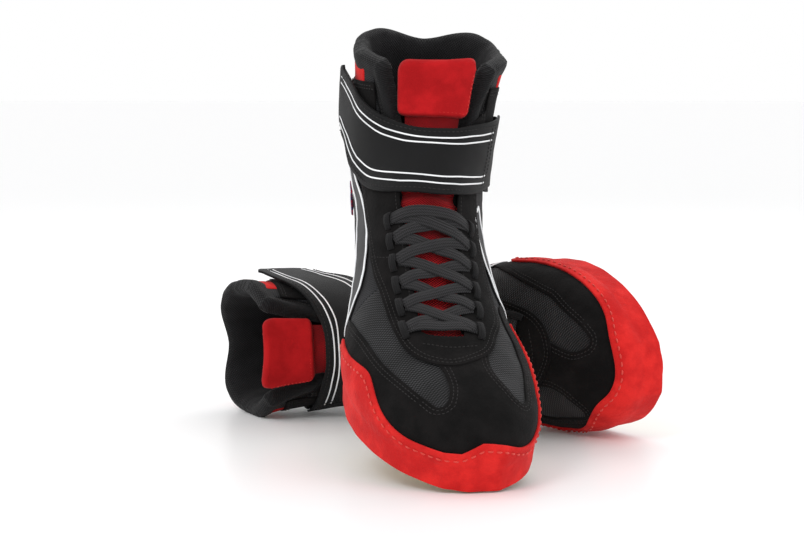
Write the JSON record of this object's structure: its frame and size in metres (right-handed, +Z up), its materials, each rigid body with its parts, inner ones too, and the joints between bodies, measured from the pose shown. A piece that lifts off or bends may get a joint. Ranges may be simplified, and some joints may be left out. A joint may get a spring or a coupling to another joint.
{
  "type": "pair of high-top boxing boots",
  "caption": "High-top boxing boots with a red toe rand, laced instep, padded collar and a wrapping ankle strap; one boot lies on its side and props up the other.",
  "frame": {"origin": "centre of the pair's footprint box, on the floor", "axes": "+Z up; the standing boot's toe points along -Y, the lying boot's toe points to +X and -Y"},
  "size_m": [0.2969, 0.4173, 0.2637],
  "materials": {
    "gum_sole": "matte pale gum rubber",
    "board": "stiff fibre board",
    "liner_foam": "foam with a knit top",
    "lining_mesh": "black spacer mesh",
    "collar_mesh": "padded black mesh",
    "upper_mesh": "charcoal open mesh",
    "black_suede": "napped black suede",
    "red_suede": "napped bright red suede",
    "white_print": "white print on black film",
    "woven_label": "plain woven tab",
    "tongue_mesh": "dark red open mesh",
    "lace_cord": "flat braided polyester",
    "black_webbing": "woven webbing",
    "loop_tape": "loop side of a hook-and-loop tape",
    "hook_tape": "hook side of a hook-and-loop tape"
  },
  "bodies": {
    "left_boot": {"left_outsole": "gum_sole", "left_insole_board": "board", "left_sockliner": "liner_foam", "left_lining": "lining_mesh", "left_collar_pad": "collar_mesh", "left_heel_counter": "board", "left_toe_puff": "board", "left_vamp_mesh": "upper_mesh", "left_lateral_quarter": "upper_mesh", "left_medial_quarter": "upper_mesh", "left_toe_overlay": "black_suede", "left_eyestay": "black_suede", "left_ankle_patch": "black_suede", "left_collar_accent": "red_suede", "left_heel_tab": "red_suede", "left_lateral_flash": "white_print", "left_medial_flash": "white_print", "left_side_label": "woven_label", "left_rand": "red_suede", "left_tongue": "tongue_mesh", "left_lace": "lace_cord", "left_lace_loops": "black_webbing", "left_strap_anchor": "black_suede", "left_loop_patch": "loop_tape"},
    "left_strap": {"left_strap": "black_suede", "left_hook_patch": "hook_tape"},
    "left_tongue_head": {"left_tongue_head": "red_suede"},
    "right_boot": {"right_outsole": "gum_sole", "right_insole_board": "board", "right_sockliner": "liner_foam", "right_lining": "lining_mesh", "right_collar_pad": "collar_mesh", "right_heel_counter": "board", "right_toe_puff": "board", "right_vamp_mesh": "upper_mesh", "right_lateral_quarter": "upper_mesh", "right_medial_quarter": "upper_mesh", "right_toe_overlay": "black_suede", "right_eyestay": "black_suede", "right_ankle_patch": "black_suede", "right_collar_accent": "red_suede", "right_heel_tab": "red_suede", "right_lateral_flash": "white_print", "right_medial_flash": "white_print", "right_side_label": "woven_label", "right_rand": "red_suede", "right_tongue": "tongue_mesh", "right_lace": "lace_cord", "right_lace_loops": "black_webbing", "right_strap_anchor": "black_suede", "right_loop_patch": "loop_tape"},
    "right_strap": {"right_strap": "black_suede", "right_hook_patch": "hook_tape"},
    "right_tongue_head": {"right_tongue_head": "red_suede"}
  },
  "joints": [
    {"name": "left_strap_hinge", "type": "hinge", "parent": "left_boot", "child": "left_strap", "pos_m": [-0.06485, 0.0846, 0.0042], "axis": [0.9872, 0.006, 0.1596], "range_deg": [0, 100]},
    {"name": "left_tongue_tilt", "type": "hinge", "parent": "left_boot", "child": "left_tongue_head", "pos_m": [-0.07557, 0.04159, 0.05009], "axis": [-0.0523, 0, 0.9986], "range_deg": [0, 40]},
    {"name": "right_strap_hinge", "type": "hinge", "parent": "right_boot", "child": "right_strap", "pos_m": [0.0367, -0.03947, 0.18762], "axis": [0.0665, 0.1931, 0.9789], "range_deg": [0, 100]},
    {"name": "right_tongue_tilt", "type": "hinge", "parent": "right_boot", "child": "right_tongue_head", "pos_m": [-0.00624, -0.08534, 0.20632], "axis": [0.9922, 0.1144, -0.0489], "range_deg": [0, 40]},
    {"name": "right_boot_lift", "type": "slide", "parent": "left_boot", "child": "right_boot", "axis": [0, 0, 1], "range_m": [0, 0.25]}
  ]
}
